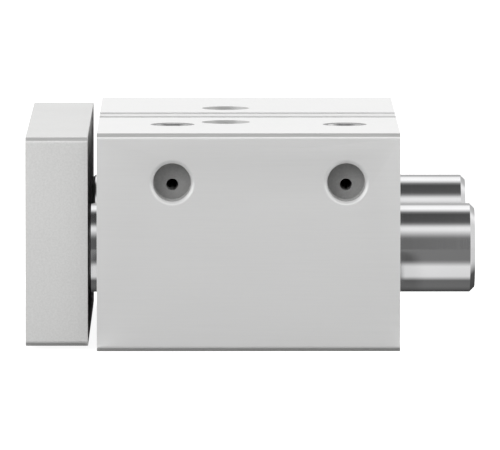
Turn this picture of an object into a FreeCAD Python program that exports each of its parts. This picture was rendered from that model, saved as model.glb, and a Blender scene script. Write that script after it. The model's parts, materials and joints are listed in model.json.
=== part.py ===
import FreeCAD, Part
import math
import os

import Sketcher

# Guided pneumatic cylinder, in millimetres.
# X runs along the stroke with the yoke plate at the -X end, Z is up, and the origin is the
# centre of the housing's bottom face. The air ports open towards -Y.
# Each piece is drawn from its own front end at local X = 0 and then placed.

# Driving dimensions
SIZES = {
    # Fits
    "seat_clearance": 0.02,
    "running_clearance": 0.04,
    "seal_clearance": 0.05,
    "piston_clearance": 0.2,
    "screw_clearance": 0.2,
    "end_gap": 0.2,
    "small_chamfer": 0.1,
    # Housing block
    "axis_height": 22.0,
    "roof_over_bore": 11.0,
    "bore_to_mount_wall": 1.7,
    "mount_to_guide_wall": 2.2,
    "guide_side_wall": 3.5,
    "housing_chamfer": 1.0,
    "front_seat_depth": 15.0,
    "rear_seat_depth": 10.2,
    "seat_step": 0.6,
    # Sensor slots in the top
    "sensor_slot_offset": 5.3,
    "sensor_slot_opening": 5.2,
    "sensor_slot_width": 6.6,
    "sensor_slot_lip": 1.6,
    "sensor_slot_depth": 4.8,
    # Air ports and passages
    "port_radius": 4.285,
    "port_countersink": 0.7,
    "port_depth": 7.0,
    "passage_radius": 1.35,
    "passage_margin": 0.55,
    "passage_drop": 1.0,
    "passage_end_offset": 2.0,
    "top_port_shift": 7.0,
    "plug_length": 6.6,
    "plug_recess": 0.7,
    "plug_end_gap": 0.7,
    "plug_chamfer": 0.5,
    "plug_hex": 5.0,
    "plug_hex_depth": 3.2,
    # Mounting holes through and under the housing
    "mount_row_inset": 29.0,
    "base_row_pitch": 24.0,
    "mount_hole_radius": 3.3,
    "mount_head_radius": 5.5,
    "mount_head_depth": 6.5,
    "base_thread_radius": 3.4,
    "base_thread_depth": 14.0,
    # Guide rods and their bushes
    "guide_rod_radius": 10.0,
    "guide_rod_overhang": 17.0,
    "guide_rod_chamfer": 1.1,
    "guide_rod_shoulder": 0.6,
    "centre_hole_radius": 2.0,
    "centre_hole_depth": 3.0,
    "bush_wall": 2.44,
    "bush_length": 20.0,
    "bush_chamfer": 0.5,
    "bush_rear_recess": 2.0,
    "guide_relief": 0.75,
    "wiper_recess": 0.8,
    "wiper_length": 3.2,
    "wiper_lip": 1.0,
    "wiper_gap": 0.4,
    # Cylinder bore, piston and rod
    "bore_radius": 16.0,
    "stroke": 20.0,
    "piston_length": 19.4,
    "piston_chamfer": 0.4,
    "piston_seal_inset": 2.8,
    "piston_seal_width": 2.6,
    "piston_seal_depth": 2.8,
    "piston_seal_lip": 0.7,
    "piston_land": 1.2,
    "guide_band_share": 0.48,
    "guide_band_depth": 1.2,
    "magnet_depth": 3.0,
    "magnet_sink": 0.3,
    "bumper_land": 0.65,
    "bumper_width": 3.25,
    "bumper_seat": 1.5,
    "bumper_proud": 1.5,
    "piston_rod_radius": 6.0,
    "spigot_radius": 4.0,
    "nut_across_flats": 13.0,
    "nut_height": 4.0,
    "nut_wrench_room": 1.1,
    "nut_recess_depth": 5.5,
    "spigot_proud": 0.5,
    # Bearing cap, end cap and their rings
    "nose_wall": 1.5,
    "nose_recess": 1.0,
    "cap_chamfer": 0.5,
    "rod_bore_clearance": 0.1,
    "rod_seal_wall": 3.5,
    "rod_seal_inset": 1.6,
    "rod_seal_width": 4.4,
    "rod_bush_wall": 0.94,
    "rod_seal_to_bush": 1.6,
    "rod_bush_recess": 0.4,
    "o_ring_groove_width": 2.8,
    "cap_ring_land": 3.9,
    "o_ring_section_radius": 0.88,
    "ring_inset": 3.2,
    "ring_thickness": 1.2,
    "ring_groove_depth": 0.85,
    "ring_width": 2.6,
    "ring_gap": 1.8,
    "lug_share": 0.375,
    "lug_hole_radius": 1.1,
    # Yoke plate
    "plate_gap": 2.0,
    "plate_thickness": 14.0,
    "plate_side_inset": 2.0,
    "plate_edge_inset": 1.0,
    "plate_chamfer": 1.0,
    "rod_seat_depth": 2.0,
    "yoke_thread_radius": 2.5,
    "yoke_thread_across": 40.0,
    "yoke_thread_up": 30.0,
    "dowel_radius": 4.5,
    "dowel_depth": 2.1,
    "dowel_spacing": 40.0,
    # Cap screws that hold the rods to the yoke plate
    "guide_screw_radius": 4.0,
    "guide_screw_length": 24.0,
    "guide_screw_head_radius": 6.5,
    "guide_screw_head_height": 8.0,
    "guide_screw_hex": 6.0,
    "guide_screw_hex_depth": 4.0,
    "rod_screw_radius": 3.0,
    "rod_screw_length": 20.0,
    "rod_screw_head_radius": 5.0,
    "rod_screw_head_height": 6.0,
    "rod_screw_hex": 5.0,
    "rod_screw_hex_depth": 3.0,
    "screw_head_recess": 0.2,
    "screw_head_chamfer": 0.5,
    "screw_tip_chamfer": 0.6,
    "thread_run_out": 2.0,
}

FULL_TURN = 360.0
COUNTERSINK_ANGLE = 90.0
HEX_CORNERS = 6
LUG_ANGLE = 13.5

doc = FreeCAD.newDocument("guided_cylinder")


class Length:
    """A length that knows its number and the expression on the sheet that gives it."""

    def __init__(self, value, text):
        self.value = value
        self.text = text

    def __add__(self, other):
        other = length(other)
        return Length(self.value + other.value, f"({self.text} + {other.text})")

    def __sub__(self, other):
        other = length(other)
        return Length(self.value - other.value, f"({self.text} - {other.text})")

    def __mul__(self, factor):
        factor = length(factor)
        return Length(self.value * factor.value, f"({self.text} * {factor.text})")

    def __truediv__(self, divisor):
        return Length(self.value / divisor, f"({self.text} / {divisor})")

    def __neg__(self):
        return Length(-self.value, f"(-{self.text})")

    __radd__ = __add__


def length(number):
    """Take a plain number or a Length as a Length."""
    if isinstance(number, Length):
        return number
    return Length(float(number), str(float(number)))


def fill_sheet(sizes):
    """Write the driving dimensions to the sheet and return them as Lengths by name."""
    sheet = doc.addObject("Spreadsheet::Sheet", "sizes")
    named = {}
    for row, (name, value) in enumerate(sizes.items(), start=1):
        sheet.set(f"A{row}", name)
        sheet.set(f"B{row}", str(value))
        sheet.setAlias(f"B{row}", name)
        named[name] = Length(value, f"sizes.{name}")
    doc.recompute()
    return named


class Sizes:
    """The driving dimensions as attributes."""

    def __init__(self, named):
        self.__dict__.update(named)


d = Sizes(fill_sheet(SIZES))


# Drawing helpers
def bind(thing, prop, size):
    thing.setExpression(prop, length(size).text)


def origin_plane(body, role):
    for feature in body.Origin.OriginFeatures:
        if feature.Role == role:
            return feature
    raise ValueError(f"no plane {role} in {body.Name}")


def new_body(label, place=(0, 0, 0)):
    """Start a piece whose local origin lies at the given place."""
    body = doc.addObject("PartDesign::Body", label)
    body.Label = label
    for axis, size in zip("xyz", place):
        bind(body, f"Placement.Base.{axis}", size)
    return body


def new_sketch(body, name, role="XZ_Plane", offset=(0, 0, 0)):
    """Add a sketch on an origin plane, moved by an offset in the sketch's own directions."""
    sketch = body.newObject("Sketcher::SketchObject", f"{body.Name}_{name}")
    sketch.AttachmentSupport = (origin_plane(body, role), [""])
    sketch.MapMode = "FlatFace"
    for axis, size in zip("xyz", offset):
        bind(sketch, f"AttachmentOffset.Base.{axis}", size)
    return sketch


def constrain(sketch, constraint, size):
    index = sketch.addConstraint(constraint)
    bind(sketch, f"Constraints[{index}]", size)


def draw_outline(sketch, corners):
    """Draw a closed outline of straight lines through corners given as pairs of Lengths."""
    corners = [(length(x), length(y)) for x, y in corners]
    points = [FreeCAD.Vector(x.value, y.value, 0) for x, y in corners]
    first = sketch.GeometryCount
    count = len(corners)
    for i in range(count):
        sketch.addGeometry(Part.LineSegment(points[i], points[(i + 1) % count]), False)
    for i in range(count):
        following = first + (i + 1) % count
        sketch.addConstraint(Sketcher.Constraint("Coincident", first + i, 2, following, 1))
    for i, (x, y) in enumerate(corners):
        line = first + i
        constrain(sketch, Sketcher.Constraint("DistanceX", -1, 1, line, 1, x.value), x)
        constrain(sketch, Sketcher.Constraint("DistanceY", -1, 1, line, 1, y.value), y)


def draw_circle(sketch, centre, radius):
    x, y, radius = length(centre[0]), length(centre[1]), length(radius)
    middle = FreeCAD.Vector(x.value, y.value, 0)
    circle = sketch.addGeometry(Part.Circle(middle, FreeCAD.Vector(0, 0, 1), radius.value), False)
    constrain(sketch, Sketcher.Constraint("DistanceX", -1, 1, circle, 3, x.value), x)
    constrain(sketch, Sketcher.Constraint("DistanceY", -1, 1, circle, 3, y.value), y)
    constrain(sketch, Sketcher.Constraint("Radius", circle, radius.value), radius)


def draw_hexagon(sketch, across_flats):
    corner_radius = across_flats / math.sqrt(3)
    corners = []
    for i in range(HEX_CORNERS):
        turn = 2 * math.pi * i / HEX_CORNERS
        corners.append((corner_radius * math.cos(turn), corner_radius * math.sin(turn)))
    draw_outline(sketch, corners)


def checked(feature, grows):
    """Recompute and make sure that the feature added or removed material."""
    before = feature.BaseFeature.Shape.Volume if feature.BaseFeature else 0.0
    doc.recompute()
    change = feature.Shape.Volume - before
    if change * (1 if grows else -1) <= 0:
        raise ValueError(f"{feature.Name} changed the volume by {change}")
    return feature


def pad(body, sketch, height):
    feature = body.newObject("PartDesign::Pad", f"{sketch.Name}_pad")
    feature.Profile = sketch
    bind(feature, "Length", height)
    return checked(feature, grows=True)


def pocket(body, sketch, depth, reversed_side=False):
    """Cut against the sketch's normal, or along it where reversed."""
    feature = body.newObject("PartDesign::Pocket", f"{sketch.Name}_pocket")
    feature.Profile = sketch
    feature.Reversed = reversed_side
    bind(feature, "Length", depth)
    return checked(feature, grows=False)


def revolve(body, outline, name="profile"):
    """Turn a closed outline, given as pairs of place along X and radius, about the X axis."""
    sketch = new_sketch(body, name)
    draw_outline(sketch, outline)
    feature = body.newObject("PartDesign::Revolution", f"{sketch.Name}_turned")
    feature.Profile = sketch
    feature.ReferenceAxis = (sketch, ["H_Axis"])
    feature.Angle = FULL_TURN
    return checked(feature, grows=True)


def groove(body, outline, name, offset=(0, 0, 0)):
    """Turn a closed outline about the sketch's X axis and take it away."""
    sketch = new_sketch(body, name, offset=offset)
    draw_outline(sketch, outline)
    feature = body.newObject("PartDesign::Groove", f"{sketch.Name}_cut")
    feature.Profile = sketch
    feature.ReferenceAxis = (sketch, ["H_Axis"])
    feature.Angle = FULL_TURN
    return checked(feature, grows=False)


def drill(body, sketch, radius, depth, upward=False):
    """Drill round holes with flat ends at the circles of a sketch."""
    feature = body.newObject("PartDesign::Hole", f"{sketch.Name}_hole")
    feature.Profile = sketch
    doc.recompute()
    feature.Threaded = False
    feature.DepthType = "Dimension"
    feature.DrillPoint = "Flat"
    feature.Reversed = upward
    bind(feature, "Diameter", radius * 2)
    bind(feature, "Depth", depth)
    return feature


def countersink(hole, rim):
    """Widen the mouth of a drilled hole by a 45 degree rim."""
    hole.HoleCutType = "Countersink"
    hole.HoleCutCustomValues = True
    hole.HoleCutCountersinkAngle = COUNTERSINK_ANGLE
    bind(hole, "HoleCutDiameter", rim * 2)


def counterbore(hole, radius, depth):
    """Sink a flat seat for a screw head at the mouth of a drilled hole."""
    hole.HoleCutType = "Counterbore"
    hole.HoleCutCustomValues = True
    bind(hole, "HoleCutDiameter", radius * 2)
    bind(hole, "HoleCutDepth", depth)


def chamfered_block(width, height, bottom, chamfer):
    """Corners of a block's end face, with its four long edges chamfered."""
    side = width / 2
    top = bottom + height
    return {
        "below": [(-side, bottom + chamfer), (-side + chamfer, bottom),
                  (side - chamfer, bottom), (side, bottom + chamfer)],
        "above": [(side, top - chamfer), (side - chamfer, top),
                  (-side + chamfer, top), (-side, top - chamfer)],
    }


# Places worked out from the driving dimensions.
# Places that end in _at are measured along X from the housing's front face.
piston_travel = d.stroke + (d.bumper_proud + d.end_gap) * 2
chamber_length = d.piston_length + piston_travel
housing_length = d.front_seat_depth + chamber_length + d.rear_seat_depth
front_face = -housing_length / 2
seat_radius = d.bore_radius + d.seat_step
ring_groove_radius = seat_radius + d.ring_groove_depth
bush_inner = d.guide_rod_radius + d.running_clearance
bush_outer = bush_inner + d.bush_wall
bush_seat = bush_outer + d.seat_clearance
mount_offset = d.bore_radius + d.bore_to_mount_wall + d.mount_hole_radius
guide_offset = mount_offset + d.mount_hole_radius + d.mount_to_guide_wall + bush_seat
housing_width = (guide_offset + bush_seat + d.guide_side_wall) * 2
bore_top = d.axis_height + d.bore_radius
housing_height = bore_top + d.roof_over_bore
wiper_at = d.wiper_recess
front_bush_at = wiper_at + d.wiper_length + d.wiper_gap
rear_bush_at = housing_length - d.bush_rear_recess - d.bush_length
passage_setback = d.passage_radius + d.passage_margin
front_port_at = d.front_seat_depth + passage_setback
rear_port_at = housing_length - d.rear_seat_depth - passage_setback
passage_height = bore_top - d.passage_drop
top_port_offset = mount_offset + d.top_port_shift
top_port_depth = d.plug_recess + d.plug_length + d.plug_end_gap
base_row_at = d.mount_row_inset + d.base_row_pitch
plate_front_at = -d.plate_gap - d.plate_thickness
plate_width = housing_width - d.plate_side_inset * 2
plate_height = housing_height - d.plate_edge_inset * 2
plate_middle = housing_height / 2
rod_front_at = -d.plate_gap - d.rod_seat_depth
guide_spigot_radius = d.guide_rod_radius - d.guide_rod_shoulder
piston_at = housing_length - d.rear_seat_depth - d.end_gap - d.bumper_proud - d.piston_length
piston_radius = d.bore_radius - d.piston_clearance
front_ring_at = d.ring_inset
rear_ring_at = housing_length - d.ring_inset - d.ring_thickness
cap_radius = seat_radius - d.seat_clearance
nose_radius = d.piston_rod_radius + d.rod_seal_wall + d.nose_wall
nut_recess_radius = d.nut_across_flats / math.sqrt(3) + d.nut_wrench_room
bumper_inner = nut_recess_radius + d.bumper_land
bumper_outer = bumper_inner + d.bumper_width
SIDES = {"left": -1, "right": 1}


def on_axis(at, side=0):
    """Place of a turned piece on the piston axis, or on a guide axis to the left or right."""
    return (front_face + at, guide_offset * side, d.axis_height)


# Housing
def housing():
    body = new_body("housing", (front_face, 0, 0))
    corners = chamfered_block(housing_width, housing_height, length(0), d.housing_chamfer)
    top = housing_height
    slots = []
    for side in (1, -1):
        middle = d.sensor_slot_offset * side
        neck = d.sensor_slot_opening / 2
        room = d.sensor_slot_width / 2
        lip = top - d.sensor_slot_lip
        floor = top - d.sensor_slot_depth
        slots += [(middle + neck, top), (middle + neck, lip), (middle + room, lip),
                  (middle + room, floor), (middle - room, floor), (middle - room, lip),
                  (middle - neck, lip), (middle - neck, top)]
    outline = corners["below"] + corners["above"][:2] + slots + corners["above"][2:]
    section = new_sketch(body, "section", "YZ_Plane")
    draw_outline(section, outline)
    pad(body, section, housing_length)
    cut_cylinder_bore(body)
    for name, side in SIDES.items():
        cut_guide_bore(body, name, side)
    cut_ports(body)
    cut_mounting_holes(body)
    return body


def cut_cylinder_bore(body):
    """The bore, with a wider seat and a ring groove at each end."""
    rear_shoulder = housing_length - d.rear_seat_depth
    front_groove = (front_ring_at - d.seat_clearance, front_ring_at + d.ring_thickness)
    rear_groove = (rear_ring_at, rear_ring_at + d.ring_thickness + d.seat_clearance)
    outline = [(0, 0), (0, seat_radius)]
    outline += groove_steps(front_groove, seat_radius)
    outline += [(d.front_seat_depth, seat_radius), (d.front_seat_depth, d.bore_radius),
                (rear_shoulder, d.bore_radius), (rear_shoulder, seat_radius)]
    outline += groove_steps(rear_groove, seat_radius)
    outline += [(housing_length, seat_radius), (housing_length, 0)]
    groove(body, outline, "cylinder_bore", offset=(0, d.axis_height, 0))


def groove_steps(span, radius):
    start, end = span
    return [(start, radius), (start, ring_groove_radius), (end, ring_groove_radius), (end, radius)]


def cut_guide_bore(body, name, side):
    """A guide rod's bore: a bush seat at each end and a relief between them."""
    relief = d.guide_rod_radius + d.guide_relief
    front_shoulder = front_bush_at + d.bush_length
    outline = [(0, 0), (0, bush_seat), (front_shoulder, bush_seat), (front_shoulder, relief),
               (rear_bush_at, relief), (rear_bush_at, bush_seat),
               (housing_length, bush_seat), (housing_length, 0)]
    groove(body, outline, f"guide_bore_{name}", offset=(0, d.axis_height, -guide_offset * side))


def cut_ports(body):
    """Side and top air ports at each end, joined by a cross passage that meets the bore."""
    side_face = housing_width / 2
    rim = d.port_radius + d.port_countersink
    passage_depth = side_face - d.passage_end_offset
    side_ports = new_sketch(body, "side_ports", "XZ_Plane", (0, 0, side_face))
    top_ports = new_sketch(body, "top_ports", "XY_Plane", (0, 0, housing_height))
    passages = new_sketch(body, "passages", "XZ_Plane", (0, 0, side_face))
    risers = new_sketch(body, "risers", "XY_Plane", (0, 0, housing_height))
    for at in (front_port_at, rear_port_at):
        draw_circle(side_ports, (at, bore_top), d.port_radius)
        draw_circle(top_ports, (at, -top_port_offset), d.port_radius)
        draw_circle(passages, (at, passage_height), d.passage_radius)
        draw_circle(risers, (at, -top_port_offset), d.passage_radius)
    side_holes = drill(body, side_ports, d.port_radius, d.port_depth)
    countersink(side_holes, rim)
    checked(side_holes, grows=False)
    top_holes = drill(body, top_ports, d.port_radius, top_port_depth)
    countersink(top_holes, rim)
    checked(top_holes, grows=False)
    checked(drill(body, passages, d.passage_radius, passage_depth), grows=False)
    riser_depth = housing_height - passage_height
    checked(drill(body, risers, d.passage_radius, riser_depth), grows=False)


def cut_mounting_holes(body):
    """Two counterbored through holes, threaded below, and two blind threads behind them."""
    through = new_sketch(body, "through_holes", "XY_Plane", (0, 0, housing_height))
    threads = new_sketch(body, "base_threads", "XY_Plane")
    for side in SIDES.values():
        draw_circle(through, (d.mount_row_inset, mount_offset * side), d.mount_hole_radius)
        for at in (d.mount_row_inset, base_row_at):
            draw_circle(threads, (at, mount_offset * side), d.base_thread_radius)
    through_depth = housing_height - d.base_thread_depth / 2
    through_holes = drill(body, through, d.mount_hole_radius, through_depth)
    counterbore(through_holes, d.mount_head_radius, d.mount_head_depth)
    checked(through_holes, grows=False)
    thread_holes = drill(body, threads, d.base_thread_radius, d.base_thread_depth, upward=True)
    checked(thread_holes, grows=False)


# Pieces seated in the housing
def tube(label, place, inner, outer, long, chamfer):
    """A plain sleeve with its outer edges chamfered."""
    body = new_body(label, place)
    revolve(body, [(0, inner), (0, outer - chamfer), (chamfer, outer), (long - chamfer, outer),
                   (long, outer - chamfer), (long, inner)])
    return body


def guide_bushes():
    for end, at in (("front", front_bush_at), ("rear", rear_bush_at)):
        for name, side in SIDES.items():
            tube(f"guide_bush_{end}_{name}", on_axis(at, side), bush_inner, bush_outer,
                 d.bush_length, d.bush_chamfer)


def rod_wipers():
    """Scraper rings in the front of the guide bores, each with a lip that points outwards."""
    inner = d.guide_rod_radius + d.seal_clearance
    ring_start = d.wiper_length / 2
    neck = inner + d.wiper_lip
    for name, side in SIDES.items():
        body = new_body(f"rod_wiper_{name}", on_axis(wiper_at, side))
        revolve(body, [(0, inner), (0, inner + d.wiper_lip / 2), (ring_start, neck),
                       (ring_start, bush_outer), (d.wiper_length, bush_outer),
                       (d.wiper_length, neck), (ring_start, inner + d.wiper_lip / 2)])


def bearing_cap():
    """Front cap that closes the bore and carries the piston rod in a seal and a bush."""
    start = d.nose_recess
    flange = front_ring_at + d.ring_thickness - start
    end = d.front_seat_depth - start
    rod_bore = d.piston_rod_radius + d.rod_bore_clearance
    seal_seat = d.piston_rod_radius + d.rod_seal_wall
    bush_seat_radius = rod_bush_outer() + d.seat_clearance
    seal_end = d.rod_seal_inset + d.rod_seal_width
    bush_start = seal_end + d.rod_seal_to_bush
    body = new_body("bearing_cap", on_axis(start))
    revolve(body, [(0, rod_bore), (0, nose_radius - d.cap_chamfer), (d.cap_chamfer, nose_radius),
                   (flange, nose_radius), (flange, cap_radius), (end, cap_radius),
                   (end, bush_seat_radius), (bush_start, bush_seat_radius), (bush_start, rod_bore),
                   (seal_end, rod_bore), (seal_end, seal_seat), (d.rod_seal_inset, seal_seat),
                   (d.rod_seal_inset, rod_bore)])
    cut_o_ring_groove(body, front_o_ring_at() - start)
    return body


def rod_bush_outer():
    return d.piston_rod_radius + d.running_clearance + d.rod_bush_wall


def front_o_ring_at():
    return front_ring_at + d.ring_thickness + d.cap_ring_land + d.o_ring_groove_width / 2


def rear_o_ring_at():
    return housing_length - d.rear_seat_depth + end_cap_thickness() / 2


def end_cap_thickness():
    return d.rear_seat_depth - d.ring_inset - d.ring_thickness


def o_ring_groove_bottom():
    return seat_radius - (d.o_ring_section_radius + d.seat_clearance) * 2


def cut_o_ring_groove(body, middle):
    half = d.o_ring_groove_width / 2
    beyond = seat_radius + d.seat_step
    bottom = o_ring_groove_bottom()
    groove(body, [(middle - half, bottom), (middle - half, beyond), (middle + half, beyond),
                  (middle + half, bottom)], "o_ring_groove")


def o_ring(label, at):
    """A round rubber ring in the groove of a cap."""
    body = new_body(label, on_axis(at))
    sketch = new_sketch(body, "section")
    middle = o_ring_groove_bottom() + d.o_ring_section_radius + d.seat_clearance
    draw_circle(sketch, (0, middle), d.o_ring_section_radius)
    feature = body.newObject("PartDesign::Revolution", f"{label}_turned")
    feature.Profile = sketch
    feature.ReferenceAxis = (sketch, ["H_Axis"])
    feature.Angle = FULL_TURN
    checked(feature, grows=True)


def rod_bearing():
    """The piston rod's bush and lip seal, both inside the bearing cap."""
    bush_at = d.nose_recess + d.rod_seal_inset + d.rod_seal_width + d.rod_seal_to_bush
    bush_long = d.front_seat_depth - d.rod_bush_recess - bush_at
    tube("rod_bearing_bush", on_axis(bush_at), d.piston_rod_radius + d.running_clearance,
         rod_bush_outer(), bush_long, d.small_chamfer)
    inner = d.piston_rod_radius + d.seal_clearance
    outer = d.piston_rod_radius + d.rod_seal_wall - d.seat_clearance
    lip = d.rod_seal_width / 2
    notch = inner + (outer - inner) / 2
    body = new_body("rod_seal", on_axis(d.nose_recess + d.rod_seal_inset))
    revolve(body, [(0, inner), (0, outer), (d.rod_seal_width, outer), (lip, notch),
                   (d.rod_seal_width, inner)])


def retaining_ring(label, at):
    """An open spring ring with two holed lugs for the fitting pliers, open at the bottom."""
    outer = ring_groove_radius - d.seat_clearance
    lug_radius = (outer - nose_radius) * d.lug_share
    lug_reach = outer - lug_radius
    lug_place = (lug_reach * math.sin(math.radians(LUG_ANGLE)),
                 lug_reach * -math.cos(math.radians(LUG_ANGLE)))
    body = new_body(label, on_axis(at))
    band = new_sketch(body, "band", "YZ_Plane")
    draw_circle(band, (0, 0), outer)
    draw_circle(band, (0, 0), outer - d.ring_width)
    pad(body, band, d.ring_thickness)
    lugs = new_sketch(body, "lugs", "YZ_Plane")
    lug_holes = new_sketch(body, "lug_holes", "YZ_Plane")
    for side in SIDES.values():
        centre = (lug_place[0] * side, lug_place[1])
        draw_circle(lugs, centre, lug_radius)
        draw_circle(lug_holes, centre, d.lug_hole_radius)
    pad(body, lugs, d.ring_thickness)
    gap = new_sketch(body, "gap", "YZ_Plane")
    half = d.ring_gap / 2
    draw_outline(gap, [(-half, -outer - d.ring_gap), (half, -outer - d.ring_gap), (half, 0),
                       (-half, 0)])
    pocket(body, gap, d.ring_thickness, reversed_side=True)
    pocket(body, lug_holes, d.ring_thickness, reversed_side=True)
    return body


def end_cap():
    """Rear cap that closes the bore."""
    thick = end_cap_thickness()
    body = new_body("end_cap", on_axis(housing_length - d.rear_seat_depth))
    revolve(body, [(0, 0), (0, cap_radius), (thick - d.cap_chamfer, cap_radius),
                   (thick, cap_radius - d.cap_chamfer), (thick, 0)])
    cut_o_ring_groove(body, thick / 2)
    return body


def blanking_plug(label, at):
    """A headless plug with a hexagon socket, screwed just below the housing's top."""
    outer = d.port_radius - d.seat_clearance
    top = d.plug_length
    bottom = housing_height - d.plug_recess - d.plug_length
    body = new_body(label, (front_face + at, -top_port_offset, bottom))
    blank = new_sketch(body, "blank")
    draw_outline(blank, [(0, 0), (outer - d.plug_chamfer, 0), (outer, d.plug_chamfer),
                         (outer, top - d.plug_chamfer), (outer - d.plug_chamfer, top), (0, top)])
    feature = body.newObject("PartDesign::Revolution", f"{label}_turned")
    feature.Profile = blank
    feature.ReferenceAxis = (blank, ["V_Axis"])
    feature.Angle = FULL_TURN
    checked(feature, grows=True)
    socket = new_sketch(body, "socket", "XY_Plane", (0, 0, top))
    draw_hexagon(socket, d.plug_hex)
    pocket(body, socket, d.plug_hex_depth)
    return body


# Pieces that move with the yoke
def yoke_plate():
    """The plate that ties the rods together, with the load's threads in its front face."""
    body = new_body("yoke_plate", (front_face + plate_front_at, 0, 0))
    corners = chamfered_block(plate_width, plate_height, d.plate_edge_inset, d.plate_chamfer)
    section = new_sketch(body, "section", "YZ_Plane")
    draw_outline(section, corners["below"] + corners["above"])
    pad(body, section, d.plate_thickness)
    seats = {"guide": (guide_spigot_radius, d.guide_screw_radius, d.guide_screw_head_radius,
                       d.guide_screw_head_height, SIDES.values()),
             "piston": (d.piston_rod_radius, d.rod_screw_radius, d.rod_screw_head_radius,
                        d.rod_screw_head_height, (0,))}
    for name, (rod, shank, head, head_height, sides) in seats.items():
        seat = new_sketch(body, f"{name}_rod_seats", "YZ_Plane", (0, 0, d.plate_thickness))
        screw = new_sketch(body, f"{name}_screw_holes", "YZ_Plane")
        for side in sides:
            centre = (guide_offset * side, d.axis_height)
            draw_circle(seat, centre, rod + d.seat_clearance)
            draw_circle(screw, centre, shank + d.screw_clearance)
        pocket(body, seat, d.rod_seat_depth)
        hole = drill(body, screw, shank + d.screw_clearance, d.plate_thickness, upward=True)
        counterbore(hole, head + d.screw_clearance, head_height + d.screw_head_recess)
        checked(hole, grows=False)
    threads = new_sketch(body, "load_threads", "YZ_Plane")
    dowels = new_sketch(body, "dowel_bores", "YZ_Plane")
    for side in SIDES.values():
        draw_circle(dowels, (d.dowel_spacing / 2 * side, plate_middle), d.dowel_radius)
        for level in (-1, 1):
            centre = (d.yoke_thread_across / 2 * side, plate_middle + d.yoke_thread_up / 2 * level)
            draw_circle(threads, centre, d.yoke_thread_radius)
    pocket(body, threads, d.plate_thickness, reversed_side=True)
    pocket(body, dowels, d.dowel_depth, reversed_side=True)
    return body


def threaded_depth(screw_length, head_height):
    """Depth of the hole that takes a screw's end in the front of a rod."""
    grip = d.plate_thickness - d.rod_seat_depth - head_height - d.screw_head_recess
    return screw_length - grip + d.thread_run_out


def guide_rods():
    """Hard rods that run in the bushes, each with a spigot screwed into the yoke's seat."""
    long = housing_length + d.guide_rod_overhang - rod_front_at
    hole_radius = d.guide_screw_radius + d.seat_clearance
    hole_depth = threaded_depth(d.guide_screw_length, d.guide_screw_head_height)
    radius = d.guide_rod_radius
    shoulder_end = d.rod_seat_depth + d.guide_rod_shoulder
    for name, side in SIDES.items():
        body = new_body(f"guide_rod_{name}", on_axis(rod_front_at, side))
        revolve(body, [(0, hole_radius), (0, guide_spigot_radius),
                       (d.rod_seat_depth, guide_spigot_radius), (shoulder_end, radius),
                       (long - d.guide_rod_chamfer, radius), (long, radius - d.guide_rod_chamfer),
                       (long, d.centre_hole_radius), (long - d.centre_hole_depth, 0),
                       (hole_depth, 0), (hole_depth, hole_radius)])


def cap_screw(label, place, shank, long, head, head_height, hexagon, hex_depth):
    """A socket head cap screw that points along X, its head at the front."""
    tip = head_height + long
    body = new_body(label, place)
    revolve(body, [(0, 0), (0, head - d.screw_head_chamfer), (d.screw_head_chamfer, head),
                   (head_height, head), (head_height, shank), (tip - d.screw_tip_chamfer, shank),
                   (tip, shank - d.screw_tip_chamfer), (tip, 0)])
    socket = new_sketch(body, "socket", "YZ_Plane")
    draw_hexagon(socket, hexagon)
    pocket(body, socket, hex_depth, reversed_side=True)
    return body


def yoke_screws():
    head_at = plate_front_at + d.screw_head_recess
    for name, side in SIDES.items():
        cap_screw(f"guide_rod_screw_{name}", on_axis(head_at, side), d.guide_screw_radius,
                  d.guide_screw_length, d.guide_screw_head_radius, d.guide_screw_head_height,
                  d.guide_screw_hex, d.guide_screw_hex_depth)
    cap_screw("piston_rod_screw", on_axis(head_at), d.rod_screw_radius, d.rod_screw_length,
              d.rod_screw_head_radius, d.rod_screw_head_height, d.rod_screw_hex,
              d.rod_screw_hex_depth)


def piston_rod():
    """Rod with a spigot that passes through the piston and takes its nut."""
    shoulder = piston_at - rod_front_at
    end = shoulder + d.piston_length - d.nut_recess_depth + d.nut_height + d.spigot_proud
    hole_radius = d.rod_screw_radius + d.seat_clearance
    hole_depth = threaded_depth(d.rod_screw_length, d.rod_screw_head_height)
    body = new_body("piston_rod", on_axis(rod_front_at))
    revolve(body, [(0, hole_radius), (0, d.piston_rod_radius), (shoulder, d.piston_rod_radius),
                   (shoulder, d.spigot_radius), (end - d.screw_tip_chamfer, d.spigot_radius),
                   (end, d.spigot_radius - d.screw_tip_chamfer), (end, 0), (hole_depth, 0),
                   (hole_depth, hole_radius)])
    return body


# Places along the piston, from its front face
front_seal_start = d.piston_seal_inset
rear_seal_start = d.piston_length - d.piston_seal_inset - d.piston_seal_width
guide_band_start = front_seal_start + d.piston_seal_width + d.piston_land
free_rim = rear_seal_start - guide_band_start - d.piston_land * 2
guide_band_width = free_rim * d.guide_band_share
magnet_start = guide_band_start + guide_band_width + d.piston_land
magnet_width = free_rim - guide_band_width


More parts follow.
